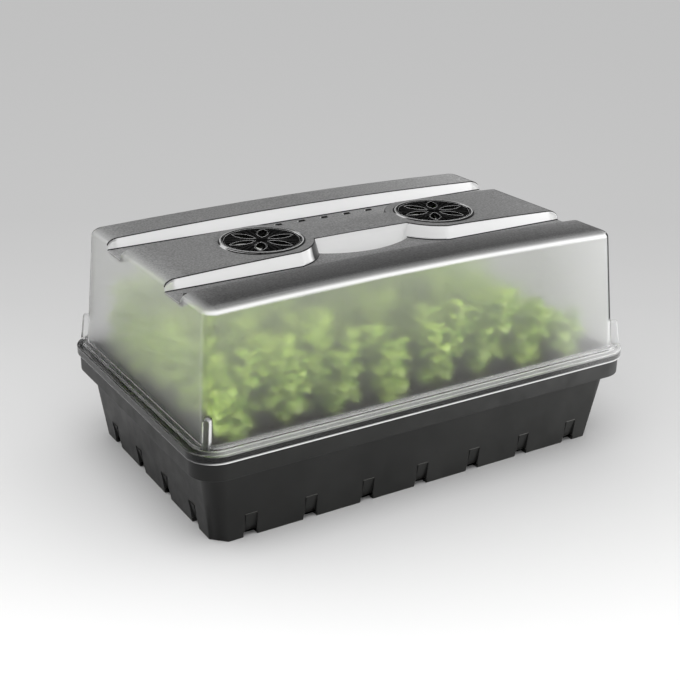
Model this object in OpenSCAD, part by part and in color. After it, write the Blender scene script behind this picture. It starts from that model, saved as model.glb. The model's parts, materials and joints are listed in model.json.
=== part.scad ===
// Seed-starting set: a base tray, a lift-out cell tray with growing plugs and seedlings,
// and a vented humidity dome whose top carries two channels for light bars.
// X runs along the length, -Y is the front, and Z = 0 is the surface the tray stands on.

/* [Base tray] */
// Half length of the tray wall at the bottom
tray_half_l = 167.7; // [165:0.1:172]
// Half width of the tray wall at the bottom
tray_half_w = 101.8; // [100:0.1:106]
// Outward lean of the tray wall, millimetres per millimetre of height
tray_draft = 0.127; // [0.12:0.001:0.14]
// Height of the tray's rim
rim_z = 74.7; // [70:0.1:80]
// Height of the lower edge of the rim's skirt
skirt_z = 56.5; // [50:0.1:62]
// Half length over the rim's skirt
rim_half_l = 183.4; // [181:0.1:188]
// Half width over the rim's skirt
rim_half_w = 117.5; // [116:0.1:122]
// Corner radius of the rim's skirt
rim_r = 20; // [14:0.5:24]
// Corner radius of the tray wall at the rim
wall_r = 15; // [10:0.5:18]
// Cut across each bottom corner
foot_chamfer = 10; // [6:0.5:14]
// Thickness of the tray's plastic
tray_t = 2.2; // [1.6:0.1:2.6]

/* [Drain grooves] */
// Distance between neighbouring grooves
groove_pitch = 47; // [44:0.5:48]
// Width of a groove
groove_w = 10.5; // [8:0.5:12]
// Height of a groove
groove_h = 4; // [3:0.5:5]
// Width of the wedge-shaped recess above a groove's end
notch_w = 9; // [6:0.5:10]
// Height at which the recess runs out into the wall
notch_h = 19; // [14:0.5:22]
// Depth of the recess at its foot
notch_d = 3.2; // [2:0.1:4]

/* [Cell tray] */
// Cells along the length
cells_l = 8; // [2:1:8]
// Cells across the width
cells_w = 5; // [2:1:5]
// Distance between cell centres
cell_pitch = 41; // [36:0.5:41]
// Inner width of a cell at its mouth
cell_mouth = 37; // [32:0.5:38]
// Inner width of a cell at its floor
cell_foot = 25; // [22:0.5:28]
// Height of the cell tray's top face
cell_top_z = 67.5; // [62:0.5:70]
// Thickness of the cell tray's plastic
cell_t = 1.2; // [0.8:0.1:1.5]
// Radius of the hole in a cell's floor
drain_r = 5; // [2:0.5:8]

/* [Plugs and seedlings] */
// Gap between a plug and the walls of its cell
plug_gap = 0.4; // [0.2:0.1:1]
// Height of the plugs' top faces
plug_top_z = 65.5; // [50:0.5:66]
// Radius of a seedling's stem
stem_r = 1.3; // [0.8:0.1:2]
// Radius of a seedling's crown of leaves
crown_r = 18; // [12:0.5:19]
// Mean height of a crown's centre
crown_z = 112; // [95:1:116]
// Size of the younger seedlings of the last column, as a share of the others
young_growth = 0.7; // [0.6:0.05:1]

/* [Dome] */
// Half length of the dome wall at its foot
dome_half_l = 176.3; // [174:0.1:178]
// Half width of the dome wall at its foot
dome_half_w = 110.5; // [108:0.1:112]
// Inward lean of the dome wall, millimetres per millimetre of height
dome_draft = 0.0785; // [0.06:0.0005:0.09]
// Height of the dome's top at its middle
dome_top_z = 173.5; // [168:0.1:180]
// Rise of the arched top from its ends to its middle
dome_arch = 3.75; // [2:0.05:5]
// Corner radius of the dome wall
dome_r = 10.5; // [10:0.5:14]
// Horizontal reach of the rounding between wall and top
brow_r = 10; // [8:0.5:10]
// Vertical reach of the rounding between wall and top
brow_h = 5.5; // [4:0.5:7]
// Thickness of the dome's plastic
dome_t = 2; // [1.5:0.1:2.4]
// Half length over the dome's flange
flange_half_l = 185.4; // [185:0.1:190]
// Half width over the dome's flange
flange_half_w = 119.5; // [119:0.1:124]
// Corner radius of the dome's flange
flange_r = 22; // [16:0.5:26]
// Height of the lower edge of the flange's lip
lip_z = 69.6; // [66:0.1:72]
// Height of the corner fins above the flange
fin_h = 20; // [14:0.5:24]
// Thickness of a corner fin
fin_t = 5; // [3:0.5:6]

/* [Light-bar channels and handle] */
// Distance from the middle to a channel's centre line
channel_y = 51.5; // [50:0.5:53]
// Width of a channel at its mouth
channel_mouth = 30; // [26:0.5:31]
// Width of a channel at its floor
channel_floor = 24; // [20:0.5:26]
// Height of a channel's floor
channel_z = 162.5; // [160:0.1:164]
// Distance between the small stops along a channel's floor
nub_pitch = 20.7; // [16:0.1:24]
// Length of a small stop
nub_l = 6; // [3:0.5:8]
// Height of a small stop
nub_h = 1.2; // [0.6:0.1:1.5]
// Width of the carry handle between the vents
handle_w = 31; // [26:0.5:34]
// Reach of a finger pocket from the handle's side
pocket_reach = 14.5; // [10:0.5:16]
// Depth of a finger pocket under the channel floor
pocket_d = 8; // [4:0.5:12]

/* [Vents] */
// Distance from the middle to a vent's centre
vent_x = 75.7; // [74:0.1:78]
// Radius of a vent's dial
dial_r = 28.6; // [26:0.1:29]
// Radius of the raised ring around a dial
ring_r = 31.2; // [31:0.1:32]
// Radius of the raised table around a vent
table_r = 38; // [36:0.5:39]
// Number of slots in a vent
slots = 6; // [4:1:6]
// Length of a slot
slot_l = 19; // [14:0.5:19]
// Width of a slot at its middle
slot_w = 7.4; // [5:0.1:7.4]
// Distance from a vent's centre to the middle of a slot
slot_mid = 15.5; // [15:0.1:16]
// Angle between the dial's slots and the grille's slots as shown
vent_turn = 10; // [0:1:30]
// Radius of the pin that holds a dial
pin_r = 2; // [1.5:0.1:2.5]

/* [Hidden] */
row_ids = [for (row = [1:cells_w]) row];
$fn = 64;
hull_fn = 32;
cut = 1;                                   // how far a cutting shape passes the face it opens
slab = 0.5;                                // thickness of the outlines that a hull joins
black = [0.17, 0.17, 0.17];
frost = [0.80, 0.82, 0.82, 0.45];
vent_black = [0.09, 0.09, 0.09];
soil = [0.23, 0.16, 0.11];
leaf = [0.42, 0.58, 0.22];

groove_xs = [for (i = [-3:3]) i * groove_pitch];
groove_ys = [for (j = [-1.5:1.5]) j * groove_pitch];
groove_roof = groove_h + tray_t;           // top of the rib that covers a groove
cell_floor_z = groove_roof + 0.1;          // the cells stand on the ribs
end_margin = 6;                            // the cell tray's deck past its end cells
side_margin = 2.5;                         // the deck past its side cells
deck_r = 8;
apron_h = 6;                               // the deck's edge turns down this far
wall_foot_z = rim_z + 4.3;                 // where the dome wall leaves the flange
flange_z = rim_z + 0.1;                    // underside of the dome's flange
flange_t = dome_t;
step_in = 5.1;                             // the raised inner band of the flange ends here
lip_t = 1.6;
fin_root = 2.5;                            // a fin reaches this far in and out of the wall at its top
fin_foot = 6;                              // and this far out at its foot
stop_r = 1.6;                              // round stop near each end of a channel
stop_inset = 17;
nub_w = 2;
nub_from_middle = 5;                       // a nub's nearer edge, from the channel's centre line
arch_steps = 4;
handle_half = handle_w / 2;
pocket_half = 43;
pocket_arc_r = (pocket_half * pocket_half + pocket_reach * pocket_reach) / (2 * pocket_reach);
channel_slope = (channel_mouth - channel_floor) / 2 / (dome_top_z - channel_z);
ring_top_z = dome_top_z + 0.4;
ledge_top_z = ring_top_z - 3.2;            // the grille lies on this ledge
ledge_t = 1.8;
ledge_r = 25.5;
seat_r = dial_r + 0.4;
grille_t = 1.3;
dial_z = ledge_top_z + grille_t + 0.3;
dial_t = 1;
dial_lip = 0.5;                            // how far the rim and the slots' lips stand above the dial
slot_lip_w = 0.9;
dial_rim_w = 1.2;
pleats = 36;
pleat_w = 0.7;
pleat_d = 0.3;
pleat_from = 6;                            // the pleats run from this radius to the dial's rim
running_gap = 0.06;                        // between a pin and its dial
head_r = 4.2;
head_t = 0.8;
collar_r = ledge_r - 0.3;
collar_h = 3.4;
collar_t = 1.4;
boss_r = 5;
boss_h = 2;
catch_w = 6;
catch_h = 1.3;
catch_reach = 1.4;                         // how far a catch hooks under the ledge

// --- shared outlines ---

module rounded_rect(half_l, half_w, r) {
    square([2 * half_l, 2 * (half_w - r)], center = true);
    square([2 * (half_l - r), 2 * half_w], center = true);
    for (sx = [-1, 1], sy = [-1, 1])
        translate([sx * (half_l - r), sy * (half_w - r)]) circle(r);
}

module chamfered_rect(half_l, half_w, c) {
    polygon([
        [half_l - c, -half_w], [half_l, c - half_w], [half_l, half_w - c], [half_l - c, half_w],
        [c - half_l, half_w], [-half_l, half_w - c], [-half_l, c - half_w], [c - half_l, -half_w]
    ]);
}

module band(half_l, half_w, r, z_low, z_high) {
    translate([0, 0, z_low]) linear_extrude(z_high - z_low) rounded_rect(half_l, half_w, r);
}

// --- base tray ---

// The tray's bowl as a solid, its wall moved inwards by inset.
module bowl(inset, z_low, z_high) {
    low_out = tray_draft * z_low - inset;
    high_out = tray_draft * z_high - inset;
    hull() {
        translate([0, 0, z_low]) linear_extrude(slab)
            chamfered_rect(tray_half_l + low_out, tray_half_w + low_out, foot_chamfer);
        translate([0, 0, z_high - slab]) linear_extrude(slab)
            rounded_rect(tray_half_l + high_out, tray_half_w + high_out, wall_r - inset, $fn = hull_fn);
    }
}

// A wedge against a wall that stands half away from the middle, deepest at its foot.
module notch_profile(half, grow) {
    top = notch_h + grow;
    polygon([
        [half - notch_d - grow, -cut], [half + 2 * notch_d, -cut],
        [half + 2 * notch_d, top], [half + tray_draft * notch_h - grow, top]
    ]);
}

module notches(grow) {
    width = notch_w + 2 * grow;
    for (x = groove_xs, turn = [0, 180])
        rotate([0, 0, turn]) translate([x + width / 2, 0, 0]) rotate([90, 0, -90])
            linear_extrude(width) notch_profile(tray_half_w, grow);
    for (y = groove_ys, turn = [0, 180])
        rotate([0, 0, turn]) translate([0, y + width / 2, 0]) rotate([90, 0, 0])
            linear_extrude(width) notch_profile(tray_half_l, grow);
}

module grooves(grow) {
    width = groove_w + 2 * grow;
    height = groove_h + grow + cut;
    for (x = groove_xs)
        translate([x - width / 2, -rim_half_w, -cut]) cube([width, 2 * rim_half_w, height]);
    for (y = groove_ys)
        translate([-rim_half_l, y - width / 2, -cut]) cube([2 * rim_half_l, width, height]);
}

module base_tray() {
    color(black) difference() {
        union() {
            bowl(0, 0, rim_z);
            difference() {
                band(rim_half_l, rim_half_w, rim_r, skirt_z, rim_z);
                band(rim_half_l - tray_t, rim_half_w - tray_t, rim_r - tray_t, skirt_z - cut, rim_z - tray_t);
            }
        }
        difference() {
            bowl(tray_t, tray_t, rim_z + cut);
            grooves(tray_t);
            notches(tray_t);
        }
        grooves(0);
        notches(0);
    }
}

// --- cell tray, plugs and seedlings ---

function cell_x(column) = (column - (cells_l + 1) / 2) * cell_pitch;
function cell_y(row) = (row - (cells_w + 1) / 2) * cell_pitch;

module each_cell() {
    for (row = row_ids, column = [1:cells_l])
        translate([cell_x(column), cell_y(row), 0]) children();
}

module cell_taper(foot, mouth, z_low, z_high) {
    translate([0, 0, z_low]) linear_extrude(z_high - z_low, scale = mouth / foot)
        square(foot, center = true);
}

module cell_tray() {
    half_l = cells_l * cell_pitch / 2 + end_margin;
    half_w = cells_w * cell_pitch / 2 + side_margin;
    apron_low = cell_top_z - apron_h;
    color(black) difference() {
        union() {
            band(half_l, half_w, deck_r, cell_top_z - cell_t, cell_top_z);
            difference() {
                band(half_l, half_w, deck_r, apron_low, cell_top_z);
                band(half_l - cell_t, half_w - cell_t, deck_r - cell_t, apron_low - cut, cell_top_z);
            }
            each_cell() cell_taper(cell_foot + 2 * cell_t, cell_mouth + 2 * cell_t, cell_floor_z, cell_top_z);
        }
        each_cell() cell_taper(cell_foot, cell_mouth, cell_floor_z + cell_t, cell_top_z + 0.01);
        each_cell() cylinder(r = drain_r, h = cell_top_z);
    }
}

module plugs_row(row) {
    foot_z = cell_floor_z + cell_t;
    lean = (cell_mouth - cell_foot) / (cell_top_z - foot_z);
    foot = cell_foot - 2 * plug_gap;
    top = foot + lean * (plug_top_z - foot_z);
    color(soil) for (column = [1:cells_l])
        translate([cell_x(column), cell_y(row), 0]) cell_taper(foot, top, foot_z, plug_top_z);
}

// Seedlings grow unevenly: a crown's height swings about its mean from cell to cell,
// and the last column is younger.
function growth(column) = column < cells_l ? 1 : young_growth;
function swing(row, column) = 5 * sin(97 * row + 143 * column) + 2 * cos(61 * column);
function crown_height(row, column) = plug_top_z + growth(column) * (crown_z - plug_top_z + swing(row, column));

module seedlings_row(row) {
    color(leaf) for (column = [1:cells_l])
        translate([cell_x(column), cell_y(row), 0]) {
            translate([0, 0, plug_top_z]) cylinder(r = stem_r, h = crown_height(row, column) - plug_top_z);
            translate([0, 0, crown_height(row, column)]) sphere(growth(column) * crown_r);
        }
}

// --- dome ---

function arch_z(x) = dome_top_z - dome_arch * pow(x / dome_half_l, 2);

// The dome's outer form as a solid, moved inwards by inset.
module dome_form(inset, z_low) {
    brow_in = dome_draft * (dome_top_z - brow_h - wall_foot_z) + inset;
    end_x = dome_half_l - brow_in - (brow_r - inset);
    side_y = dome_half_w - brow_in - (brow_r - inset);
    hull() {
        translate([0, 0, z_low]) linear_extrude(slab)
            rounded_rect(dome_half_l - inset, dome_half_w - inset, dome_r - inset, $fn = hull_fn);
        for (step = [-arch_steps:arch_steps], sy = [-1, 1]) {
            x = end_x * step / arch_steps;
            translate([x, sy * side_y, arch_z(x) - brow_h]) scale([1, 1, (brow_h - inset) / (brow_r - inset)])
                sphere(brow_r - inset, $fn = hull_fn);
        }
    }
}

// A channel's cross-section, standing up from the floor, made larger by grow all round.
module channel_profile(grow) {
    low = channel_floor / 2 + grow;
    rise = dome_top_z + cut - channel_z + grow;
    polygon([[-low, 0], [low, 0], [low + channel_slope * rise, rise], [-low - channel_slope * rise, rise]]);
}

// The tables that carry the vents, as cones that widen towards the channel floors.
module vent_tables(grow) {
    low = channel_z - pocket_d - 2 * cut;
    rise = dome_top_z + cut - low;
    for (sx = [-1, 1])
        translate([sx * vent_x, 0, low])
            cylinder(r1 = table_r - grow + channel_slope * rise, r2 = table_r - grow, h = rise);
}

// The space that both channels and the room beside the handle take out of the dome's top.
module top_cuts(grow) {
    floor_z = channel_z - grow;
    pocket_z = floor_z - pocket_d;
    top = dome_top_z + cut;
    side_y = handle_half - grow;
    for (side = [0, 1]) mirror([0, side, 0]) {
        translate([-dome_half_l, channel_y, floor_z]) rotate([90, 0, 90])
            linear_extrude(2 * dome_half_l) channel_profile(grow);
        difference() {
            union() {
                translate([-vent_x, side_y, floor_z]) cube([2 * vent_x, channel_y - side_y, top - floor_z]);
                intersection() {
                    translate([0, handle_half + pocket_reach - pocket_arc_r, pocket_z])
                        cylinder(r = pocket_arc_r + grow, h = pocket_d + cut, $fn = 128);
                    translate([-vent_x, side_y, pocket_z]) cube([2 * vent_x, channel_y, pocket_d + cut]);
                }
            }
            vent_tables(grow);
        }
    }
}

// A fin across the dome's corner, leaning back to the wall and rounded at its top.
module corner_fin() {
    corner = dome_r * (1 - sqrt(0.5));
    root_x = dome_half_l - corner;
    root_y = dome_half_w - corner;
    intersection() {
        translate([root_x, root_y, 0]) rotate([90, 0, 45]) translate([0, 0, -fin_t])
            linear_extrude(2 * fin_t) polygon([
                [-fin_root, wall_foot_z - cut], [fin_foot, wall_foot_z - cut],
                [fin_root, wall_foot_z + fin_h], [-fin_root, wall_foot_z + fin_h]
            ]);
        translate([root_x, root_y, 0]) rotate([0, 0, 45]) union() {
            translate([-2 * fin_foot, -fin_t / 2, wall_foot_z - 2 * cut])
                cube([4 * fin_foot, fin_t, fin_h - fin_t / 2 + 2 * cut]);
            translate([-2 * fin_foot, 0, wall_foot_z + fin_h - fin_t / 2])
                rotate([0, 90, 0]) cylinder(r = fin_t / 2, h = 4 * fin_foot);
        }
    }
}

// Small stops that locate a light bar on a channel's floor.
module channel_nubs() {
    for (sx = [-1, 1])
        translate([sx * (dome_half_l - stop_inset), channel_y - nub_w, channel_z - cut])
            cylinder(r = stop_r, h = cut + nub_h);
    for (i = [-2.5:2.5])
        translate([i * nub_pitch - nub_l / 2, channel_y + nub_from_middle, channel_z - cut])
            cube([nub_l, nub_w, cut + nub_h]);
}

module dome() {
    step_half_l = flange_half_l - step_in;
    step_half_w = flange_half_w - step_in;
    color(frost) difference() {
        union() {
            difference() {
                dome_form(0, wall_foot_z - flange_t);
                top_cuts(0);
            }
            band(flange_half_l, flange_half_w, flange_r, lip_z, flange_z + flange_t);
            band(step_half_l, step_half_w, flange_r - step_in, flange_z + flange_t, wall_foot_z);
            for (sx = [0, 1], sy = [0, 1]) mirror([sx, 0, 0]) mirror([0, sy, 0]) corner_fin();
            for (side = [-1, 1]) translate([side * vent_x, 0, ledge_top_z - ledge_t])
                cylinder(r = ring_r, h = ring_top_z - ledge_top_z + ledge_t);
            for (side = [0, 1]) mirror([0, side, 0]) channel_nubs();
        }
        difference() {
            union() {
                dome_form(dome_t, wall_foot_z - flange_t - cut);
                band(dome_half_l - dome_t, dome_half_w - dome_t, dome_r - dome_t, lip_z - cut, wall_foot_z);
            }
            top_cuts(dome_t);
            for (side = [-1, 1])
                translate([side * vent_x, 0, ledge_top_z - ledge_t]) cylinder(r = ring_r, h = ledge_t + cut);
        }
        band(flange_half_l - lip_t, flange_half_w - lip_t, flange_r - lip_t, lip_z - cut, flange_z);
        for (side = [-1, 1]) translate([side * vent_x, 0, 0]) {
            translate([0, 0, ledge_top_z]) cylinder(r = seat_r, h = 2 * grille_t + dial_t + cut);
            translate([0, 0, ledge_top_z - ledge_t - cut]) cylinder(r = ledge_r, h = ledge_t + 2 * cut);
        }
    }
}

// --- vents ---

module slot_outline() {
    arc_r = (slot_l * slot_l + slot_w * slot_w) / (4 * slot_w);
    for (i = [0:slots - 1]) rotate(i * 360 / slots) intersection() {
        translate([slot_mid, arc_r - slot_w / 2]) circle(arc_r);
        translate([slot_mid, slot_w / 2 - arc_r]) circle(arc_r);
    }
}

module vent_grille(side) {
    collar_low = ledge_top_z - collar_h;
    color(vent_black) translate([side * vent_x, 0, 0]) difference() {
        union() {
            translate([0, 0, ledge_top_z]) cylinder(r = seat_r - 0.2, h = grille_t);
            translate([0, 0, collar_low]) difference() {
                cylinder(r = collar_r, h = collar_h);
                translate([0, 0, -cut]) cylinder(r = collar_r - collar_t, h = collar_h + cut);
            }
            for (i = [0:2]) rotate(i * 120 + 30)
                translate([collar_r - collar_t / 2, -catch_w / 2, collar_low])
                    cube([collar_t / 2 + catch_reach, catch_w, catch_h]);
            translate([0, 0, ledge_top_z - boss_h]) cylinder(r = boss_r, h = boss_h + cut);
        }
        translate([0, 0, ledge_top_z - cut])
            linear_extrude(grille_t + 2 * cut) rotate(-vent_turn) slot_outline();
        translate([0, 0, collar_low]) cylinder(r = pin_r, h = collar_h + grille_t + cut);
    }
}

module vent_dial(side) {
    color(vent_black) translate([side * vent_x, 0, dial_z]) difference() {
        union() {
            difference() {
                cylinder(r = dial_r, h = dial_t + dial_lip);
                translate([0, 0, dial_t]) cylinder(r = dial_r - dial_rim_w, h = dial_lip + cut);
                for (i = [0:pleats - 1]) rotate((i + 0.5) * 360 / pleats)
                    translate([pleat_from, -pleat_w / 2, dial_t - pleat_d])
                        cube([dial_r - dial_rim_w - pleat_from - 0.5, pleat_w, pleat_d + cut]);
            }
            linear_extrude(dial_t + dial_lip) offset(slot_lip_w) slot_outline();
        }
        translate([0, 0, -cut]) linear_extrude(dial_t + dial_lip + 2 * cut) slot_outline();
        translate([0, 0, -cut]) cylinder(r = pin_r + running_gap, h = dial_t + 2 * cut);
        translate([0, 0, dial_t - head_t]) cylinder(r = head_r + 0.3, h = dial_lip + head_t + cut);
    }
}

module vent_pin(side) {
    low = ledge_top_z - collar_h + 0.2;
    head_low = dial_z + dial_t - head_t + 0.15;
    color(vent_black) translate([side * vent_x, 0, 0]) {
        translate([0, 0, low]) cylinder(r = pin_r, h = head_low - low);
        translate([0, 0, head_low]) cylinder(r = head_r, h = head_t - 0.15);
        translate([0, 0, low]) cylinder(r = pin_r + 0.6, h = ledge_top_z - boss_h - low);
    }
}

base_tray();
cell_tray();
dome();
vent_grille(-1);  // vent_grille_left
vent_grille(1);  // vent_grille_right
vent_dial(-1);  // vent_dial_left
vent_dial(1);  // vent_dial_right
vent_pin(-1);  // vent_pin_left
vent_pin(1);  // vent_pin_right
for (row = row_ids) plugs_row(row);
for (row = row_ids) seedlings_row(row);
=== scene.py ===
"""A seed-starting tray under its vented humidity dome, with seedlings growing in its cells."""
import json
import math
import random

import bmesh
import bpy
from mathutils import Matrix, Vector

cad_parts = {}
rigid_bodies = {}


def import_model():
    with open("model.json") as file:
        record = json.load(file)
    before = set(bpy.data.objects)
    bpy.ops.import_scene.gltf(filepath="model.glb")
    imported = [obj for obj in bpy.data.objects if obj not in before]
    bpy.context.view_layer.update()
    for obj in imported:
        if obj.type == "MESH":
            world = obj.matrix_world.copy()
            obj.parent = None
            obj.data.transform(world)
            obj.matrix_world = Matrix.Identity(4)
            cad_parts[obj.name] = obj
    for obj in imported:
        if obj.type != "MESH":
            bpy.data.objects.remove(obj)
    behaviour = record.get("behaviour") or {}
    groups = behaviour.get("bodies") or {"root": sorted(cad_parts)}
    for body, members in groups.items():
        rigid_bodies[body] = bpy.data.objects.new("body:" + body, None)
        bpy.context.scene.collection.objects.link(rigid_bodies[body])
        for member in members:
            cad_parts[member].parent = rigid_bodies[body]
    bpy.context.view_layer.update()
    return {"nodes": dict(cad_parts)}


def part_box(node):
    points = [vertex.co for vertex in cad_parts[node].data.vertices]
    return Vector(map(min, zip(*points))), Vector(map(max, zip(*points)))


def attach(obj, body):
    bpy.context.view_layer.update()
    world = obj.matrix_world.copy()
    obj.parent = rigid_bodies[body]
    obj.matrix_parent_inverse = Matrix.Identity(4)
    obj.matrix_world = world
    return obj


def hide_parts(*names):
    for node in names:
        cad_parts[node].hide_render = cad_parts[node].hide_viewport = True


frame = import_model()

MM = 0.001
NODES = frame["nodes"]
ROWS = range(1, 6)
COLUMNS = range(1, 9)
MIDDLE_COLUMN = 4.5
CELL_PITCH = 41 * MM
VENT_X = 75.7 * MM
CAMERA_AZIMUTH = math.radians(-31.34)


# --- materials -------------------------------------------------------------------------


def grey(value):
    """An opaque grey, for a colour socket."""
    return (value, value, value, 1)


class Shader:
    """A material with one Principled node, and short calls that add nodes to it."""

    def __init__(self, name, colour, roughness, **sockets):
        self.material = bpy.data.materials.new(name)
        self.material.use_nodes = True
        self.tree = self.material.node_tree
        self.surface = self.tree.nodes["Principled BSDF"]
        self.surface.inputs["Base Color"].default_value = (*colour, 1)
        self.surface.inputs["Roughness"].default_value = roughness
        for socket, value in sockets.items():
            self.surface.inputs[socket.replace("_", " ")].default_value = value
        self.place = self.tree.nodes.new("ShaderNodeTexCoord").outputs["Object"]

    def node(self, kind, inputs=None, **settings):
        made = self.tree.nodes.new("ShaderNode" + kind)
        for key, value in settings.items():
            setattr(made, key, value)
        for key, value in (inputs or {}).items():
            if isinstance(value, bpy.types.NodeSocket):
                self.tree.links.new(value, made.inputs[key])
            else:
                made.inputs[key].default_value = value
        return made

    def noise(self, scale, detail=4.0, roughness=0.55):
        """Noise whose values lie mostly between 0.3 and 0.7. Scale is in waves to the metre."""
        inputs = {"Vector": self.place, "Scale": scale, "Detail": detail, "Roughness": roughness}
        return self.node("TexNoise", inputs).outputs["Fac"]

    def ramp(self, factor, low, high, start=0.3, end=0.7):
        """Maps factor from start..end to low..high, which are numbers or colours."""
        if isinstance(low, tuple):
            return self.mix(self.rise(factor, start, end), (*low, 1), (*high, 1))
        span = {"Value": factor, "From Min": start, "From Max": end, "To Min": low, "To Max": high}
        return self.node("MapRange", span).outputs["Result"]

    def rise(self, factor, start, end):
        """A mask that is 0 up to start and 1 from end."""
        return self.ramp(factor, 0.0, 1.0, start, end)

    def fall(self, factor, start, end):
        """A mask that is 1 up to start and 0 from end."""
        return self.ramp(factor, 1.0, 0.0, start, end)

    def mix(self, factor, low, high):
        """Blends two colours, each a value or an output."""
        return self.node("Mix", {0: factor, 6: low, 7: high}, data_type="RGBA").outputs[2]

    def math(self, operation, *values, **settings):
        return self.node("Math", dict(enumerate(values)), operation=operation, **settings).outputs[0]

    def times(self, first, *others):
        for other in others:
            first = self.math("MULTIPLY", first, other)
        return first

    def absolute(self, value):
        return self.math("ABSOLUTE", value)

    def less(self, value, taken):
        """Value less taken, but never below 0."""
        return self.math("SUBTRACT", value, taken, use_clamp=True)

    def split(self, vector):
        return self.node("SeparateXYZ", {"Vector": vector}).outputs

    def normal(self):
        return self.split(self.node("NewGeometry").outputs["Normal"])

    def rounded_edge(self, upward, high=0.96):
        """A mask of the rounded edges between level faces and walls, whose normals lie between the two."""
        return self.times(self.rise(upward, 0.32, 0.38), self.fall(upward, high - 0.04, high))

    def feed(self, socket, output):
        self.tree.links.new(output, self.surface.inputs[socket])

    def bump(self, height, distance, strength=1.0):
        """The height of a full bump is its distance, in metres."""
        made = self.node("Bump", {"Height": height, "Distance": distance, "Strength": strength})
        self.feed("Normal", made.outputs["Normal"])


def tray_plastic():
    """Black plastic in a fine grain, with a painted highlight along its lowest rounded edges."""
    s = Shader("tray_plastic", (0.010, 0.010, 0.009), 0.4, Specular_IOR_Level=0.24)
    plain = s.ramp(s.noise(18, 5), (0.0035, 0.0036, 0.0033), (0.0075, 0.0076, 0.0071))
    upward = s.absolute(s.normal()["Z"])
    near_ground = s.ramp(s.split(s.place)["Z"], 1.0, 0.1, 0.030, 0.035)
    # Painted highlight: the rounded edges low on the tray are made paler.
    painted_edge_highlight = s.times(s.rounded_edge(upward), near_ground)
    s.feed("Base Color", s.mix(painted_edge_highlight, plain, (0.06, 0.06, 0.057, 1)))
    s.feed("Roughness", s.ramp(s.noise(60), 0.34, 0.46))
    s.bump(s.noise(2600, 2), 0.05 * MM, 0.35)
    return s.material


def cell_plastic():
    """Thin black plastic, a little duller than the tray's."""
    s = Shader("cell_plastic", (0.012, 0.012, 0.012), 0.5)
    s.feed("Roughness", s.ramp(s.noise(90), 0.42, 0.6))
    s.bump(s.noise(1800, 2), 0.06 * MM, 0.3)
    return s.material


# How milky each part of the dome is: 0 is clear, and 1 lets nothing through. The white corner highlight, the
# flange's bright edges and the lip's foot are made milky as painted highlights, the channels' dark edges as painted
# shade, and the right end as painted light that makes it paler.
DOME_HAZE = {
    "mist": 1.0, "shoulder": 0.75, "top": 0.7, "painted_glint": 0.6, "painted_highlight_lip_foot": 0.8,
    "painted_light_right_end": 0.18, "painted_dark_edge": 0.5, "flange_top": 0.22, "painted_bright_edge": 0.7,
}
FLANGE_ROUGHNESS = 0.08
LEAST_FROST = 0.28
TOP_FROST = 0.55


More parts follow.
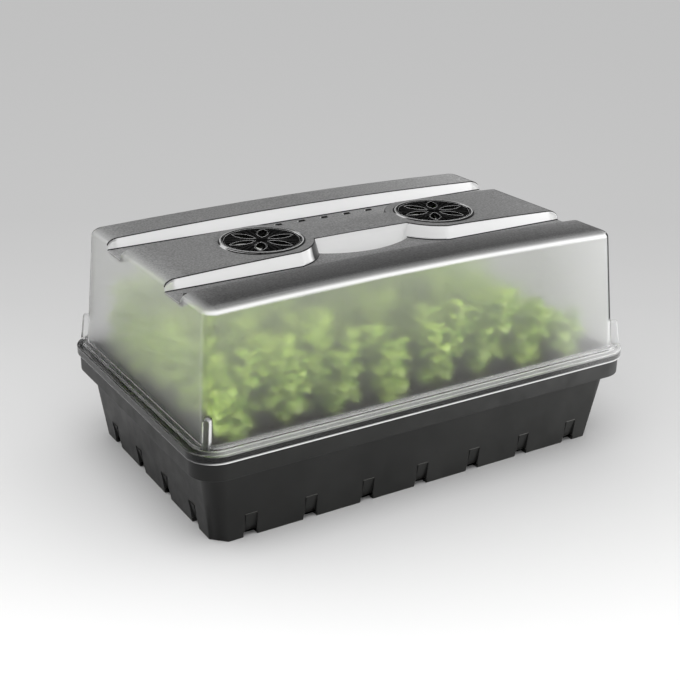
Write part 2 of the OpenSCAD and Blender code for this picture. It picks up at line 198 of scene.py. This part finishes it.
def dome_masks(s):
    """Masks from 0 to 1 of the parts of the dome's surface, by place in metres and by facing."""
    place = s.split(s.place)
    height = place["Z"]
    from_middle = s.absolute(place["X"])
    from_ridge = s.absolute(place["Y"])
    normal = s.normal()
    upward = s.absolute(normal["Z"])
    frontward = s.absolute(normal["Y"])
    # 0 where the surface is seen square on, and 1 at its outline, where the masks below paint thick clear plastic's
    # dark outlines and its white corner highlight.
    askew = s.node("LayerWeight", {"Blend": 0.5}).outputs["Facing"]

    upper = s.rise(height, 0.120, 0.145)
    flange = s.fall(height, 0.0785, 0.0800)
    # Painted shade: the flange, its lip and the lip's foot are darker at the left end.
    at_left = s.fall(place["X"], -0.180, -0.165)

    top = s.times(s.rise(upward, 0.74, 0.998), upper)
    sloped = s.times(s.ramp(upward, 0.0, 0.9, 0.13, 0.55), s.ramp(frontward, 0.25, 1.0, 0.2, 0.6))
    by_channels = s.times(s.fall(from_ridge, 0.071, 0.073), s.rise(height, 0.150, 0.152))
    channel_walls = s.times(by_channels, s.fall(from_middle, 0.160, 0.164))
    milky = s.times(s.math("MAXIMUM", sloped, channel_walls), upper)
    lengthwise = s.rise(frontward, 0.08, 0.16)

    corner = s.absolute(s.times(normal["X"], normal["Y"]))
    # Painted shade: dark outlines at the dome's corners and along its brow, by facing.
    corner_edge = s.times(s.rise(askew, 0.48, 0.60), s.rise(corner, 0.12, 0.2), s.rise(height, 0.098, 0.101))
    brow = s.times(s.rise(upward, 0.28, 0.36), s.fall(upward, 0.965, 0.990), s.rise(askew, 0.72, 0.80))
    above_rim_edge = s.ramp(height, 1.0, 0.25, 0.0705, 0.0715)
    return {
        "flange": flange,
        "at_left": at_left,
        "top": top,
        "shoulder": s.less(milky, top),
        # Painted shade: dark lines along the channels' rounded edges, standing for refraction in thick clear
        # plastic.
        "painted_dark_edge": s.times(s.rounded_edge(upward, 0.998), by_channels, lengthwise),
        "flange_top": s.times(s.rise(upward, 0.35, 0.8), flange, s.ramp(at_left, 1.0, 0.15, 0.0, 1.0)),
        # Painted highlight: the flange's rounded edges are made milky, so they show as bright lines, less at the
        # left end.
        "painted_bright_edge": s.times(s.rounded_edge(upward), flange, above_rim_edge, s.ramp(at_left, 1.0, 0.2, 0.0, 1.0)),
        "painted_shade_left_flange": s.times(at_left, flange, 0.75),
        "lip": s.times(s.fall(height, 0.0755, 0.0765), s.fall(upward, 0.2, 0.3)),
        # Painted highlight: a white, milky band along the foot of the lip, fainter at the left end.
        "painted_highlight_lip_foot": s.times(s.fall(height, 0.0705, 0.0709), s.ramp(at_left, 1.0, 0.3, 0.0, 1.0)),
        "mist": s.times(s.ramp(height, 0.015, 0.100, 0.085, 0.165), s.math("SUBTRACT", 1.0, flange)),
        # Painted light: the right end is made milkier, which makes it paler.
        "painted_light_right_end": s.rise(place["X"], 0.10, 0.17),
        # Painted highlight: a white line along the right front corner, by facing.
        "painted_glint": s.times(s.rise(askew, 0.28, 0.38), s.rise(corner, 0.37, 0.42), s.rise(height, 0.082, 0.083)),
        "painted_dark_outline": s.math("MAXIMUM", corner_edge, brow),
    }


def dome_top_grey(s):
    """The top's stippled grey, with a painted reflection that makes it paler towards its back, on its left end
    and along the right of its two outer strips; it is also paler on the rings round the vents."""
    place = s.split(s.place)
    stippled = s.ramp(s.noise(700, 4, 0.6), 0.075, 0.165)
    # Painted reflection: the top grows paler towards its back, on its left end and along the right of its outer
    # strips.
    painted_reflection_to_back = s.ramp(place["Y"], 0.70, 1.9, -0.09, -0.03)
    outer_strip = s.rise(s.absolute(place["Y"]), 0.034, 0.050)
    painted_reflection_to_right = s.times(outer_strip, s.ramp(place["X"], 0.0, 0.5, 0.0, 0.17))
    along = s.math("ADD", painted_reflection_to_right, s.ramp(place["X"], 1.5, 1.0, -0.172, -0.150))
    past_vent = s.math("SUBTRACT", s.absolute(place["X"]), VENT_X)
    spot = s.node("CombineXYZ", {"X": past_vent, "Y": place["Y"]}).outputs[0]
    from_vent = s.node("VectorMath", {0: spot}, operation="LENGTH").outputs["Value"]
    ring = s.times(s.fall(from_vent, 0.0312, 0.0316), s.rise(place["Z"], 0.1722, 0.1727))
    shade = s.times(stippled, painted_reflection_to_back, along, s.ramp(ring, 1.0, 1.9, 0.0, 1.0))
    return s.node("CombineColor", {0: shade, 1: shade, 2: shade}).outputs[0]


def frosted_plastic():
    """Clear plastic, frosted inside: milky on its shoulders and channel walls, dark and stippled on its top, with
    painted dark lines along its edges and outlines and painted highlights on its corner, flange and lip."""
    s = Shader("frosted_plastic", (0.9, 0.9, 0.9), 0.30, IOR=1.3)
    masks = dome_masks(s)
    # Each part covers those before it.
    greys = {
        "shoulder": grey(0.84),
        "top": dome_top_grey(s),
        "painted_dark_edge": grey(0.012),
        "painted_shade_left_flange": grey(0.05),
        "lip": s.mix(masks["at_left"], grey(0.5), grey(0.12)),
        "painted_highlight_lip_foot": grey(0.9),
        "painted_glint": grey(0.96),
        "painted_dark_outline": grey(0.02),
    }
    colour = grey(0.90)
    for part, part_grey in greys.items():
        colour = s.mix(masks[part], colour, part_grey)
    s.feed("Base Color", colour)

    haze = 0.0
    for part, milkiness in DOME_HAZE.items():
        haze = s.math("ADD", haze, s.times(masks[part], milkiness))
    s.feed("Transmission Weight", s.less(1.0, haze))

    place = s.split(s.place)
    frost = s.times(s.ramp(place["Z"], 0.42, 0.28, 0.095, 0.150), s.ramp(place["X"], 0.75, 1.0, -0.168, -0.162))
    frost = s.math("MAXIMUM", frost, LEAST_FROST)
    frost = s.math("MAXIMUM", frost, s.times(masks["top"], TOP_FROST))
    s.feed("Roughness", s.node("Mix", {0: masks["flange"], 2: frost, 3: FLANGE_ROUGHNESS}).outputs[0])
    s.bump(s.noise(1500, 3), 0.12 * MM, 0.4)
    return s.material


def vent_plastic():
    """Black plastic, with painted highlights along the edges of the dial's raised ribs and rim."""
    s = Shader("vent_plastic", (0.005, 0.005, 0.005), 0.3, Specular_IOR_Level=0.04)
    upward = s.absolute(s.normal()["Z"])
    raised = s.ramp(s.split(s.place)["Z"], 0.05, 1.0, 0.17355, 0.17360)
    # Painted highlight: the rounded edges of the raised ribs and rim are pale.
    s.feed("Base Color", s.mix(s.times(s.rounded_edge(upward), raised), grey(0.005), grey(0.7)))
    s.feed("Roughness", s.ramp(s.noise(120), 0.2, 0.34))
    s.bump(s.noise(1800, 2), 0.05 * MM, 0.3)
    return s.material


def growing_medium():
    """Dark brown, fibrous growing medium."""
    s = Shader("growing_medium", (0.05, 0.03, 0.02), 0.9)
    fibres = s.noise(420, 8, 0.7)
    s.feed("Base Color", s.ramp(fibres, (0.016, 0.010, 0.006), (0.11, 0.07, 0.04), 0.35, 0.75))
    s.bump(fibres, 0.8 * MM)
    return s.material


def leaf_green():
    """Green that is deeper low down and brighter at the tips, as each leaf's tint says: painted shade low in the
    canopy and painted light at its top.
    """
    s = Shader(
        "leaf", (0.2, 0.4, 0.05), 0.5,
        Subsurface_Weight=0.2, Subsurface_Radius=(0.4, 1.0, 0.15), Subsurface_Scale=4 * MM,
    )
    tint = s.node("Attribute", attribute_name="tint").outputs["Fac"]
    s.feed("Base Color", s.ramp(tint, (0.12, 0.175, 0.03), (0.37, 0.515, 0.075), 0.0, 1.0))
    s.bump(s.noise(500, 3), 0.3 * MM, 0.5)
    return s.material


FLOOR_HEADING = -CAMERA_AZIMUTH
FLOOR_SPAN = (-0.35, 0.85)
FLOOR_ALBEDO = 0.93
# The floor's shade at distances along its heading, in metres from the object.
FLOOR_GREYS = (
    (-0.310, 1.000), (-0.257, 0.939), (-0.213, 0.896), (-0.164, 0.847), (-0.110, 0.799), (-0.048, 0.753),
    (0.021, 0.708), (0.102, 0.665), (0.195, 0.617), (0.304, 0.578), (0.433, 0.552), (0.590, 0.533),
)


def floor_grey():
    """A pale floor with a painted light fall-off: lightest in front of the object and greyer behind it."""
    s = Shader("floor", (0.8, 0.8, 0.8), 0.9, Specular_IOR_Level=0.0)
    place = s.split(s.place)
    across = s.times(place["X"], math.sin(FLOOR_HEADING))
    away = s.math("ADD", across, s.times(place["Y"], math.cos(FLOOR_HEADING)))
    near, far = FLOOR_SPAN
    ramp = s.node("ValToRGB", {"Fac": s.rise(away, near, far)})
    elements = ramp.color_ramp.elements
    elements.remove(elements[1])
    for index, (distance, shade) in enumerate(FLOOR_GREYS):
        position = (distance - near) / (far - near)
        stop = elements[0] if index == 0 else elements.new(position)
        stop.position = position
        stop.color = grey(shade * FLOOR_ALBEDO)
    s.feed("Base Color", ramp.outputs["Color"])
    return s.material


MATERIALS = {
    "base_tray": tray_plastic(),
    "cell_tray": cell_plastic(),
    "dome": frosted_plastic(),
    "vent": vent_plastic(),
    "plug": growing_medium(),
    "leaf": leaf_green(),
}


# --- CAD nodes that keep their own shape -------------------------------------------------

WELD_DISTANCE = 0.01 * MM
FLAT_ANGLE = math.radians(0.3)
BEVEL_ANGLE = math.radians(30.0)
FACE_WEIGHT = 100


def smooth(mesh):
    """Shades every face smoothly."""
    mesh.polygons.foreach_set("use_smooth", [True] * len(mesh.polygons))


def soften_cad(node, material, width):
    """Gives a CAD node its material, rounds its edges and shades it smoothly."""
    made = NODES[node]
    made.data.materials.clear()
    made.data.materials.append(material)
    smooth(made.data)
    made.modifiers.new("weld", "WELD").merge_threshold = WELD_DISTANCE
    flat = made.modifiers.new("flat_faces", "DECIMATE")
    flat.decimate_type = "DISSOLVE"
    flat.angle_limit = FLAT_ANGLE
    bevel = made.modifiers.new("bevel", "BEVEL")
    bevel.width = width
    bevel.segments = 2
    bevel.limit_method = "ANGLE"
    bevel.angle_limit = BEVEL_ANGLE
    bevel.use_clamp_overlap = False
    made.modifiers.new("weld_bevel", "WELD").merge_threshold = WELD_DISTANCE
    weighted = made.modifiers.new("weighted", "WEIGHTED_NORMAL")
    weighted.mode = "FACE_AREA_WITH_ANGLE"
    weighted.weight = FACE_WEIGHT


# --- seedlings -------------------------------------------------------------------------

SEED = 40
GOLDEN_ANGLE = math.radians(137.5)
SHOOTS = 6
SHOOT_LEAVES = 13
LOWEST_LEAF = 0.26
SPREAD = 25 * MM
# The seedlings of the last column are younger.
YOUNG_HEIGHT = 0.62
YOUNG_SPREAD = 0.95

LEAF_STEPS = 5
LEAF_ACROSS = (-1, -0.5, 0, 0.5, 1)
LEAF_CUP = 0.22
LEAF_TIP_WIDTH = 0.02
LEAF_THICKNESS = 0.3 * MM
STEM_STEPS = 5
STEM_SIDES = 6
STEM_RADIUS = 0.8 * MM
STEM_TINT = 0.55
# Half the depth that a row's leaves may fill, as a share of half its CAD box.
ROW_ROOM = 1.15


def leaf_width(along):
    """Width of a leaf at a share of its length, as a share of its widest."""
    return math.sin(math.pi * min(along, 1) ** 0.75) ** 0.7


def add_leaf(bm, tint_layer, root, heading, rise, length, width, droop, tint):
    """A leaf blade: it leaves root at rise above level, then curls down, cupped about its midrib."""
    side = Vector((-math.sin(heading), math.cos(heading), 0))
    out = Vector((math.cos(heading), math.sin(heading), 0))
    centre = Vector(root)
    rows = []
    for step in range(LEAF_STEPS + 1):
        along = step / LEAF_STEPS
        slope = rise - droop * along
        forward = out * math.cos(slope) + Vector((0, 0, math.sin(slope)))
        normal = side.cross(forward) * -1
        half = max(width / 2 * leaf_width(along), LEAF_TIP_WIDTH * width)
        row = []
        for a in LEAF_ACROSS:
            lift = LEAF_CUP * abs(a) ** 1.5 * half
            vert = bm.verts.new(centre + side * (a * half) + normal * lift)
            vert[tint_layer] = tint * (0.82 + 0.18 * abs(a)) + 0.10 * along
            row.append(vert)
        rows.append(row)
        centre += forward * (length / LEAF_STEPS)
    for low, high in zip(rows, rows[1:]):
        for i in range(len(LEAF_ACROSS) - 1):
            bm.faces.new((low[i], low[i + 1], high[i + 1], high[i]))


def add_stem(bm, tint_layer, path):
    """A thin stalk through the points of path."""
    rings = []
    for point in path:
        ring = []
        for k in range(STEM_SIDES):
            turn = 2 * math.pi * k / STEM_SIDES
            vert = bm.verts.new(point + Vector((math.cos(turn), math.sin(turn), 0)) * STEM_RADIUS)
            vert[tint_layer] = STEM_TINT
            ring.append(vert)
        rings.append(ring)
    for low, high in zip(rings, rings[1:]):
        for k in range(STEM_SIDES):
            after = (k + 1) % STEM_SIDES
            bm.faces.new((low[k], low[after], high[after], high[k]))


def add_seedling(bm, tint_layer, foot, height, spread, rng):
    """Shoots fan out of one cell, each with leaves that are larger low down and upright at the tip."""

    def on_shoot(lean, share, above):
        return foot + lean * math.sin(0.5 * math.pi * share) + Vector((0, 0, above))

    turn = rng.uniform(0, 2 * math.pi)
    vigour = rng.uniform(-0.15, 0.15)
    for shoot in range(SHOOTS):
        bearing = turn + 2 * math.pi * shoot / SHOOTS + rng.uniform(-0.4, 0.4)
        reach = spread * rng.uniform(0.30, 0.85)
        lean = Vector((math.cos(bearing), math.sin(bearing), 0)) * reach
        tall = height * rng.uniform(0.50, 1.0)
        shares = [step / STEM_STEPS for step in range(STEM_STEPS + 1)]
        add_stem(bm, tint_layer, [on_shoot(lean, share, tall * share) for share in shares])
        start = rng.uniform(0, 2 * math.pi)
        tone = vigour + rng.uniform(-0.12, 0.2)
        for k in range(SHOOT_LEAVES):
            share = (k + 0.5) / SHOOT_LEAVES
            root = on_shoot(lean, share, tall * (LOWEST_LEAF + (1 - LOWEST_LEAF) * share))
            heading = start + k * GOLDEN_ANGLE + rng.uniform(-0.3, 0.3)
            rise = math.radians(5 + 40 * share + rng.uniform(-12, 12))
            length = spread * (0.72 - 0.20 * share) * rng.uniform(0.8, 1.1)
            width = length * rng.uniform(0.74, 0.95)
            droop = math.radians(rng.uniform(35, 80))
            # Painted shade and light: leaves low on a shoot are darker and high ones paler; tone also varies by
            # seedling and at random.
            tint = 0.05 + 0.70 * share * tall / height + tone + rng.uniform(-0.10, 0.10)
            add_leaf(bm, tint_layer, root, heading, rise, length, width, droop, tint)


def hold_in_box(bm, low, high):
    """Draws leaves that stick out of the row's CAD box back to it, and softly so along Y."""
    middle = (low.y + high.y) / 2
    room = ROW_ROOM * (high.y - low.y) / 2
    for vert in bm.verts:
        vert.co.y = middle + room * math.tanh((vert.co.y - middle) / room)
        vert.co.x = min(max(vert.co.x, low.x), high.x)
        vert.co.z = min(vert.co.z, high.z)


def seedlings_row(row):
    """Eight seedlings, each in the middle of its cell and nearly as high as its CAD crown. They
    stand for that row of CAD seedlings, and ride with the cell tray."""
    rng = random.Random(SEED + row)
    low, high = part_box(f"seedlings_row_{row}")
    plug_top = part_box(f"plugs_row_{row}")[1].z
    middle_y = (low.y + high.y) / 2
    bm = bmesh.new()
    tint_layer = bm.verts.layers.float.new("tint")
    for column in COLUMNS:
        foot = Vector(((column - MIDDLE_COLUMN) * CELL_PITCH, middle_y, plug_top - MM))
        height = (high.z - foot.z) * rng.uniform(0.86, 0.98)
        spread = SPREAD
        if column == COLUMNS[-1]:
            height *= YOUNG_HEIGHT
            spread *= YOUNG_SPREAD
        add_seedling(bm, tint_layer, foot, height, spread, rng)
    hold_in_box(bm, low, high)
    mesh = bpy.data.meshes.new(f"seedlings_row_{row}_leaves")
    bm.to_mesh(mesh)
    bm.free()
    smooth(mesh)
    mesh.materials.append(MATERIALS["leaf"])
    made = bpy.data.objects.new(mesh.name, mesh)
    bpy.context.scene.collection.objects.link(made)
    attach(made, "cells")
    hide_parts(f"seedlings_row_{row}")
    thick = made.modifiers.new("thickness", "SOLIDIFY")
    thick.thickness = LEAF_THICKNESS
    thick.offset = 0


soften_cad("base_tray", MATERIALS["base_tray"], 0.6 * MM)
soften_cad("cell_tray", MATERIALS["cell_tray"], 0.2 * MM)
soften_cad("dome", MATERIALS["dome"], 0.75 * MM)
for side in ("left", "right"):
    soften_cad(f"vent_grille_{side}", MATERIALS["vent"], 0.12 * MM)
    soften_cad(f"vent_dial_{side}", MATERIALS["vent"], 0.14 * MM)
    soften_cad(f"vent_pin_{side}", MATERIALS["vent"], 0.12 * MM)
NODES["dome"].visible_shadow = False
for row in ROWS:
    soften_cad(f"plugs_row_{row}", MATERIALS["plug"], 1.0 * MM)
    seedlings_row(row)


# --- floor, light and camera ---------------------------------------------------------------

FLOOR_SIZE = 30
WORLD_STRENGTH = 1.06
CAMERA_ELEVATION = math.radians(22.3)
CAMERA_ROLL = math.radians(0.49)
CAMERA_PLACE = (-0.46793, -0.75404, 0.44352)
CAMERA_LENS = 65.05
CAMERA_SENSOR = 36


def floor():
    """One plane under everything, which is not part of the object."""
    bpy.ops.mesh.primitive_plane_add(size=FLOOR_SIZE, location=(0, 0, 0))
    made = bpy.context.object
    made.name = "floor"
    made.data.materials.append(floor_grey())
    return made


def area_light(name, at, towards, size, watts, only=(), never=()):
    """A soft box, which lights only some objects, or never some, where that is said."""
    light = bpy.data.lights.new(name, "AREA")
    light.shape = "RECTANGLE"
    light.size, light.size_y = size
    light.energy = watts
    made = bpy.data.objects.new(name, light)
    made.location = at
    made.rotation_mode = "QUATERNION"
    made.rotation_quaternion = (Vector(towards) - Vector(at)).to_track_quat("-Z", "Y")
    made.visible_camera = False
    made.visible_transmission = False
    receivers = bpy.data.collections.new(f"{name}_receivers")
    for receiver in (*only, *never):
        receivers.objects.link(receiver)
    for index in range(len(only), len(only) + len(never)):
        receivers.collection_objects[index].light_linking.link_state = "EXCLUDE"
    made.light_linking.receiver_collection = receivers
    bpy.context.scene.collection.objects.link(made)


def world_light():
    """An even white sky, which glossy surfaces don't reflect, so that the vents stay black."""
    world = bpy.data.worlds.new("studio")
    world.use_nodes = True
    sky = world.node_tree.nodes["Background"].inputs
    sky["Color"].default_value = (1, 1, 1, 1)
    sky["Strength"].default_value = WORLD_STRENGTH
    world.cycles_visibility.glossy = False
    bpy.context.scene.world = world


def camera():
    """The camera stands left of the front, looking down a little, level but for half a degree of roll."""
    level = math.cos(CAMERA_ELEVATION)
    back = Vector((
        math.sin(CAMERA_AZIMUTH) * level, -math.cos(CAMERA_AZIMUTH) * level, math.sin(CAMERA_ELEVATION)
    ))
    right = Vector((math.cos(CAMERA_AZIMUTH), math.sin(CAMERA_AZIMUTH), 0))
    up = back.cross(right)
    turned_right = right * math.cos(CAMERA_ROLL) + up * math.sin(CAMERA_ROLL)
    turned_up = up * math.cos(CAMERA_ROLL) - right * math.sin(CAMERA_ROLL)
    data = bpy.data.cameras.new("camera")
    data.sensor_width = CAMERA_SENSOR
    data.lens = CAMERA_LENS
    made = bpy.data.objects.new("camera", data)
    axes = Matrix((turned_right, turned_up, back)).transposed()
    made.matrix_world = Matrix.Translation(CAMERA_PLACE) @ axes.to_4x4()
    bpy.context.scene.collection.objects.link(made)
    bpy.context.scene.camera = made


ground = floor()
tray = NODES["base_tray"]
inside = [made for made in bpy.data.objects if made.name.startswith(("seedlings", "cell_tray"))]
world_light()
area_light(
    "front_top", at=(0.0, -0.90, 1.30), towards=(0, 0, 0.15), size=(0.8, 0.8), watts=4.2, never=(ground,)
)
area_light(
    "tray_card", at=(0.72, -0.58, 0.16), towards=(0.15, -0.11, 0.05), size=(0.5, 0.4), watts=24, only=(tray,)
)
area_light(
    "right_card", at=(0.80, -0.62, 0.14), towards=(0.15, -0.11, 0.09), size=(0.35, 0.3), watts=16, only=inside
)
area_light(
    "right_fill", at=(0.80, -0.62, 0.30), towards=(0.1, -0.11, 0.14), size=(0.5, 0.5), watts=2.5,
    only=(NODES["dome"],),
)
area_light(
    "left_card", at=(-0.50, 0.70, 0.14), towards=(-0.17, 0.0, 0.05), size=(0.4, 0.3), watts=1.5, only=(tray,)
)
area_light(
    "left_fill", at=(-0.80, -0.10, 0.40), towards=(-0.10, 0.0, 0.10), size=(0.5, 0.4), watts=13, only=inside
)
area_light(
    "floor_wash", at=(-0.26, -0.43, 1.6), towards=(-0.26, -0.43, 0), size=(1.2, 1.2), watts=5, only=(ground,)
)
camera()
bpy.context.scene.view_settings.view_transform = "Standard"
